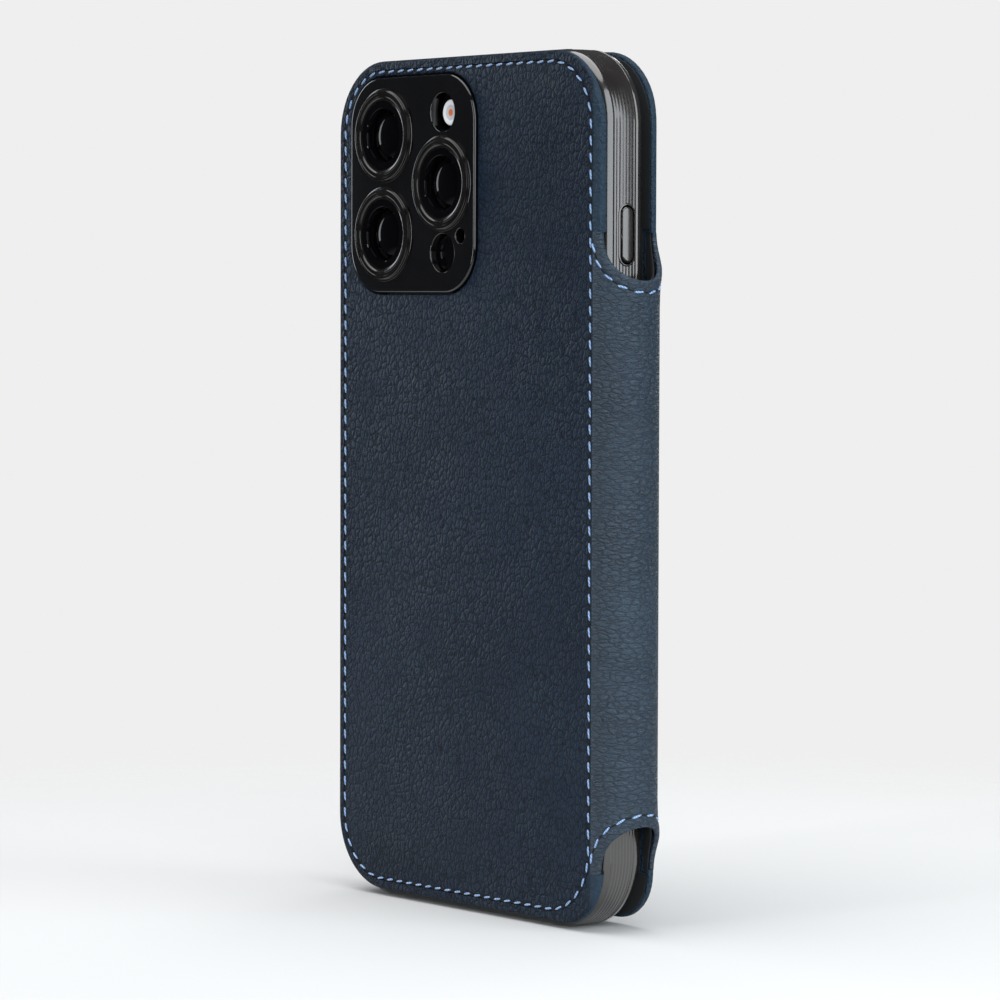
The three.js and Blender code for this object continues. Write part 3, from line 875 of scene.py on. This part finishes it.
# A loop of edges grows into the next one: pulled in from the shell's outline and set at its depth.
def nextLoop(bm, edges, box, corner, inset, depth, rib=0.0):
    grown = bmesh.ops.extrude_edge_only(bm, edges=edges)["geom"]
    low, high = box
    for vert in (g for g in grown if isinstance(g, bmesh.types.BMVert)):
        core = Vector((
            min(max(vert.co.x, low.x + corner), high.x - corner), vert.co.y,
            min(max(vert.co.z, low.z + corner), high.z - corner),
        ))
        away = (vert.co - core).normalized()
        vert.co = core + away * (corner - inset - rib * ribShare(vert.co.z))
        vert.co.y = depth
    return [g for g in grown if isinstance(g, bmesh.types.BMEdge)]


def shellProfile():
    depth = shellHigh.y - shellLow.y
    points = []
    arcs = 6
    for k in range(1, arcs + 1):
        turn = math.pi / 2 * k / arcs
        points.append((
            shell["backRound"] * (1 - math.sin(turn)), shell["backRound"] * (1 - math.cos(turn)), 0.0,
        ))
    slices = shell["ribs"] * 8
    for k in range(slices + 1):
        at = shell["ribFrom"] + (shell["ribTo"] - shell["ribFrom"]) * k / slices
        wave = (1 - math.cos(2 * math.pi * shell["ribs"] * k / slices)) / 2
        off = shell["bulge"] * (2 * at / depth - 1) ** 2
        points.append((off, at, shell["ribDepth"] * (1 - wave)))
    for k in range(arcs + 1):
        turn = math.pi / 2 * k / arcs
        points.append((
            shell["frontRound"] * (1 - math.cos(turn)),
            depth - shell["frontRound"] * (1 - math.sin(turn)), 0.0,
        ))
    return points


def pillAcross(bm, side, z, length, width, inner, outer, rim, steps=10):
    before = set(bm.verts)
    radius = width / 2
    corners = roundAbout(0, 0, width, length, radius)
    plate(bm, corners, 0, outer - inner, 0, rim, None, steps)
    made = [v for v in bm.verts if v not in before]
    turn = Matrix.Rotation(-side * math.pi / 2, 4, "Z")
    move = Matrix.Translation((phoneX + side * inner, buttonY, z))
    bmesh.ops.transform(bm, matrix=move @ turn, verts=made)


def carve(piece, cutter):
    change = piece.modifiers.new("carve", "BOOLEAN")
    change.operation, change.solver, change.object = "DIFFERENCE", "EXACT", cutter
    evaluated = piece.evaluated_get(bpy.context.evaluated_depsgraph_get())
    mesh = bpy.data.meshes.new_from_object(evaluated)
    piece.modifiers.clear()
    piece.data = mesh
    bpy.data.objects.remove(cutter)
    mesh.polygons.foreach_set("use_smooth", [True] * len(mesh.polygons))
    mesh.set_sharp_from_angle(angle=math.radians(35))


buttonNames = ["mute", "volume_up", "volume_down", "side"]
button = dict(gap=0.3 * mm, rim=0.5 * mm, lip=0.35 * mm, lipProud=0.14 * mm, narrow=0.9 * mm)
buttonBoxes = {name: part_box(name + "_button") for name in buttonNames}
buttonY = sum(buttonBoxes["mute"], Vector()).y / 2
port = dict(width=13 * mm, depth=5.6 * mm)
speaker = dict(width=15 * mm, depth=2.2 * mm, offset=21 * mm)


def footCutter(bm, x, width, depth):
    before = set(bm.verts)
    plate(bm, roundAbout(0, 0, width, depth, depth / 2), -2 * mm, 4 * mm, 0, 0, None, 8)
    made = [v for v in bm.verts if v not in before]
    move = Matrix.Translation((x, buttonY, 0)) @ Matrix.Rotation(math.pi / 2, 4, "X")
    bmesh.ops.transform(bm, matrix=move, verts=made)


def makeShell():
    box = (shellLow, shellHigh)
    first, last = shellLow.y, shellHigh.y
    corner = shell["corner"]
    bm = bmesh.new()
    start = roundBox(shellLow.x, shellHigh.x, shellLow.z, shellHigh.z, corner)
    face = outline(bm, start, first, 16)
    for vert in face.verts:
        core = Vector((
            min(max(vert.co.x, shellLow.x + corner), shellHigh.x - corner), first,
            min(max(vert.co.z, shellLow.z + corner), shellHigh.z - corner),
        ))
        vert.co = core + (vert.co - core).normalized() * (corner - shell["backRound"])
    edges = list(face.edges)
    for inset, depth, rib in shellProfile():
        edges = nextLoop(bm, edges, box, corner, inset, first + depth, rib)
    side = (shell["wall"] + shell["endWall"]) / 2
    lipEdge = side + shell["lipReach"]
    inner = [
        (lipEdge - shell["lipRound"], last), (lipEdge, last - shell["lipRise"]),
        (lipEdge, last - shell["lipWall"]), (side, last - shell["lipWall"]),
        (side, first + shell["backWall"]),
    ]
    for inset, y in inner:
        edges = nextLoop(bm, edges, box, corner, inset, y)
    bmesh.ops.contextual_create(bm, geom=edges)
    closeUp(bm)
    piece = newMesh("ribbed_phone_shell", bm, shellMaterial, 35)
    cutter = bmesh.new()
    plate(cutter, cameraOpening(-shell["cameraCut"]), first - mm, first + 2 * mm)
    footCutter(cutter, phoneX, port["width"], port["depth"])
    for way in (-1, 1):
        footCutter(cutter, phoneX + way * speaker["offset"], speaker["width"], speaker["depth"])
    for name in buttonNames:
        low, high = buttonBoxes[name]
        sideways = 1 if low.x > 0 else -1
        width = high.y - low.y - button["narrow"] + 2 * button["gap"]
        length = high.z - low.z + 2 * button["gap"]
        reach = shellHigh.x - phoneX
        depth = reach - shell["buttonCut"]
        pillAcross(cutter, sideways, (low.z + high.z) / 2, length, width, depth, reach + mm, 0)
    closeUp(cutter)
    carve(piece, newMesh("shellCutter", cutter, shellMaterial))
    return piece


fit(makeShell(), "case", "smoke_shell", "phone_shell")


# A raised lip runs round the moat of each button, and the pill-shaped cover stands in it.
def makeButtons():
    for name in buttonNames:
        low, high = buttonBoxes[name]
        sideways = 1 if low.x > 0 else -1
        width, length = high.y - low.y - button["narrow"], high.z - low.z
        inner = min(abs(low.x - phoneX), abs(high.x - phoneX))
        outer = max(abs(low.x - phoneX), abs(high.x - phoneX))
        bm = bmesh.new()
        pillAcross(bm, sideways, (low.z + high.z) / 2, length, width, inner, outer, button["rim"])
        closeUp(bm)
        cover = newMesh(name + "_button_cover", bm, shellMaterial)
        fit(cover, name + "_key", "smoke_shell", name + "_button")
        reach = shellHigh.x - phoneX
        inset = button["gap"]
        lip, hollow = bmesh.new(), bmesh.new()
        wide = 2 * (inset + button["lip"])
        pillAcross(
            lip, sideways, (low.z + high.z) / 2, length + wide, width + wide,
            reach - 0.7 * mm, reach + button["lipProud"], button["lip"] * 0.7,
        )
        pillAcross(
            hollow, sideways, (low.z + high.z) / 2, length + 2 * inset, width + 2 * inset,
            reach - mm, reach + mm, 0,
        )
        closeUp(lip)
        closeUp(hollow)
        rim = newMesh(name + "_button_lip", lip, shellMaterial)
        carve(rim, newMesh("lipCutter", hollow, shellMaterial))
        fit(rim, "case", "smoke_shell")


makeButtons()

print("camera plate")

plateLook = dict(
    edge=0.55 * mm, holeRound=0.22 * mm, lensHole=6.4 * mm, windowGap=0.2 * mm, flashDepth=1.9 * mm,
    mic=1.4 * mm, micAcross=5.6 * mm, micUp=3.2 * mm,
)
lensNames = ["upper", "lower", "side"]
ringBoxes = {name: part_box("lens_ring_" + name) for name in lensNames}
windowBoxes = {name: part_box(name + "_window") for name in ("flash", "sensor")}
ringCentres = {name: sum(box, Vector()) / 2 for name, box in ringBoxes.items()}
windowCentres = {name: sum(box, Vector()) / 2 for name, box in windowBoxes.items()}
windowRadius = (windowBoxes["flash"][1].x - windowBoxes["flash"][0].x) / 2 + plateLook["windowGap"]


def makePlate():
    bm = bmesh.new()
    front, back = plateLow.y, plateHigh.y
    frontFace, backFace = plate(bm, cameraOpening(0), front, back, plateLook["edge"], 0)
    frontLoops, backLoops = openFace(bm, frontFace), openFace(bm, backFace)
    holes = [(ringCentres[name], plateLook["lensHole"]) for name in lensNames]
    holes += [(centre, windowRadius) for centre in windowCentres.values()]
    micPlace = windowCentres["sensor"] + Vector((plateLook["micAcross"], 0, plateLook["micUp"]))
    holes.append((micPlace, plateLook["mic"]))
    for centre, radius in holes:
        mouth = radius + plateLook["holeRound"]
        corners = roundAbout(centre.x, centre.z, 2 * mouth, 2 * mouth, mouth)
        mouthLoop, wallLoop = holeThrough(bm, corners, front, back, plateLook["holeRound"], 8)
        frontLoops += mouthLoop
        backLoops += wallLoop
    fillBetween(bm, frontLoops)
    fillBetween(bm, backLoops)
    closeUp(bm)
    return newMesh("gloss_camera_plate", bm, plateMaterial, 30)


fit(makePlate(), "case", "gloss_black", "camera_plate")


# A profile of radius and depth is spun round the lens axis.
def spun(name, profile, centre, material, closed, sharpAngle=30):
    bm = bmesh.new()
    verts = [bm.verts.new((centre.x + radius, depth, centre.z)) for radius, depth in profile]
    edges = [bm.edges.new(pair) for pair in zip(verts, verts[1:])]
    if closed:
        edges.append(bm.edges.new((verts[-1], verts[0])))
    bmesh.ops.spin(
        bm, geom=verts + edges, cent=centre, axis=(0, 1, 0), steps=72, angle=2 * math.pi, use_merge=True,
    )
    closeUp(bm)
    return newMesh(name, bm, material, sharpAngle)


ring = dict(base=9.2 * mm, flank=8.75 * mm, top=8.45 * mm, bore=7.25 * mm, ledge=6.75 * mm, seat=5.9 * mm)
lens = dict(edge=6.65 * mm, dome=5.0 * mm, curve=8.2 * mm, recess=0.42 * mm, trench=0.35 * mm)


def makeLens(name):
    low, high = ringBoxes[name]
    centre = ringCentres[name]
    base, top = high.y, low.y
    rise = base - top
    profile = [
        (ring["seat"], base), (ring["base"], base), (ring["base"], base - rise * 0.16),
        (ring["base"] - 0.1 * mm, base - rise * 0.24), (ring["flank"] + 0.08 * mm, base - rise * 0.3),
        (ring["flank"], base - rise * 0.42), (ring["flank"] - 0.02 * mm, base - rise * 0.8),
        (ring["flank"] - 0.12 * mm, base - rise * 0.95), (ring["top"], top), (ring["top"] - 0.25 * mm, top),
        (ring["top"] - 0.32 * mm, top + 0.09 * mm), (ring["bore"] + 0.42 * mm, top + 0.1 * mm),
        (ring["bore"] + 0.35 * mm, top + 0.02 * mm), (ring["bore"] + 0.12 * mm, top + 0.01 * mm),
        (ring["bore"], top + 0.12 * mm), (ring["bore"] - 0.12 * mm, top + 0.3 * mm),
        (ring["ledge"], top + 0.42 * mm), (ring["ledge"] - 0.05 * mm, top + 0.6 * mm),
        (ring["seat"], top + 0.62 * mm),
    ]
    piece = spun("camera_ring_" + name, profile, centre, ringMaterial, True)
    fit(piece, "case", "gloss_black", "lens_ring_" + name)
    face = top + lens["recess"]
    stem, stemEnd = ring["seat"] - 0.3 * mm, face + 2.6 * mm
    profile = [
        (0, stemEnd), (stem, stemEnd), (stem, face + 0.15 * mm), (lens["edge"], face + 0.15 * mm),
        (lens["edge"], face + 0.04 * mm), (lens["edge"] - 0.06 * mm, face),
        (lens["dome"] + 0.45 * mm, face), (lens["dome"] + 0.3 * mm, face + 0.1 * mm),
        (lens["dome"] + 0.05 * mm, face + lens["trench"] + 0.4 * mm),
    ]
    arcs = 10
    sag = lens["curve"] - math.sqrt(lens["curve"] ** 2 - lens["dome"] ** 2)
    for k in range(arcs + 1):
        radius = lens["dome"] * (1 - k / arcs)
        drop = lens["curve"] - math.sqrt(lens["curve"] ** 2 - radius ** 2)
        profile.append((radius, face + lens["trench"] + drop * 0.9))
    piece = spun("lens_glass_" + name, profile, centre, glassMaterial, False)
    fit(piece, "case", "dark_glass", "lens_cover_" + name)


for name in lensNames:
    makeLens(name)


# The flash is a white disc with a warm middle, deep in its hole, with a faint painted glow.
def glowingFlashMaterial(centre):
    material, nodes, links, shader = startMaterial("glowingFlashDisc")
    place = nodes.new("ShaderNodeTexCoord")
    shift = nodes.new("ShaderNodeMapping")
    shift.inputs["Location"].default_value = (-centre.x, -centre.y, -centre.z)
    links.new(place.outputs["Object"], shift.inputs["Vector"])
    flat = nodes.new("ShaderNodeVectorMath")
    flat.operation = "MULTIPLY"
    flat.inputs[1].default_value = (1, 0, 1)
    links.new(shift.outputs["Vector"], flat.inputs[0])
    distance = nodes.new("ShaderNodeVectorMath")
    distance.operation = "LENGTH"
    links.new(flat.outputs[0], distance.inputs[0])
    away = distance.outputs["Value"]
    inner = addRange(nodes, links, away, 0.55 * mm, 0.8 * mm)
    outer = addRange(nodes, links, away, 1.3 * mm, 1.7 * mm)
    warm = addMix(nodes, links, inner, (0.75, 0.2, 0.06), (0.62, 0.62, 0.66))
    white = addMix(nodes, links, outer, warm, (0.93, 0.93, 0.96))
    links.new(white, shader.inputs["Base Color"])
    # Painted light: the same colour feeds a weak emission, so the disc glows though it is no lamp.
    links.new(white, shader.inputs["Emission Color"])
    setSockets(shader, Roughness=0.3, Emission_Strength=0.12)
    return material


def makeWindows():
    centre = windowCentres["flash"]
    front = plateLow.y + plateLook["flashDepth"]
    profile = [
        (0, front + 0.5 * mm), (2.45 * mm, front + 0.5 * mm), (2.45 * mm, front + 0.12 * mm),
        (2.3 * mm, front), (1.7 * mm, front), (1.5 * mm, front + 0.08 * mm), (0, front + 0.1 * mm),
    ]
    flash = spun("flash_disc", profile, centre, glowingFlashMaterial(centre), False)
    fit(flash, "case", "frosted_window", "flash_window")
    centre = windowCentres["sensor"]
    front = plateLow.y + plateLook["flashDepth"] * 0.8
    profile = [
        (0, front + 0.5 * mm), (3.45 * mm, front + 0.5 * mm), (3.45 * mm, front + 0.1 * mm),
        (3.3 * mm, front), (2.5 * mm, front), (2.35 * mm, front + 0.25 * mm), (0, front + 0.1 * mm),
    ]
    sensor = spun("sensor_disc", profile, centre, glassMaterial, False)
    fit(sensor, "case", "dark_glass", "sensor_window")


makeWindows()

print("card pockets")

pocketNames = ["tall", "middle", "short"]


def makePockets():
    for name in pocketNames:
        low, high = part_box("card_pocket_" + name)
        bm = bmesh.new()
        corners = roundBox(low.x, high.x, low.z, high.z, 3 * mm)
        plate(bm, corners, low.y, high.y, 0.12 * mm, 0.12 * mm, None, 8)
        closeUp(bm)
        pocket = newMesh(name + "_card_pocket", bm, leather)
        fit(pocket, "front_flap", "navy_leather", "card_pocket_" + name)
    low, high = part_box("pocket_seam_thread")
    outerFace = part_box("card_pocket_short")[0].y
    inset = 0.22 * mm
    places = loopPlaces(
        low.x + inset, high.x - inset, low.z + inset, 2 * high.z, 1.6 * mm, 3 * mm,
    )
    places = [p for p in places if p[1] < high.z - mm]
    seamRow(
        "pocket_seam_stitches", "pocket_needle_hole_shade", places, outerFace, Vector((0, -1, 0)),
        "front_flap", ["pocket_seam_thread"],
    )


makePockets()

low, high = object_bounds()
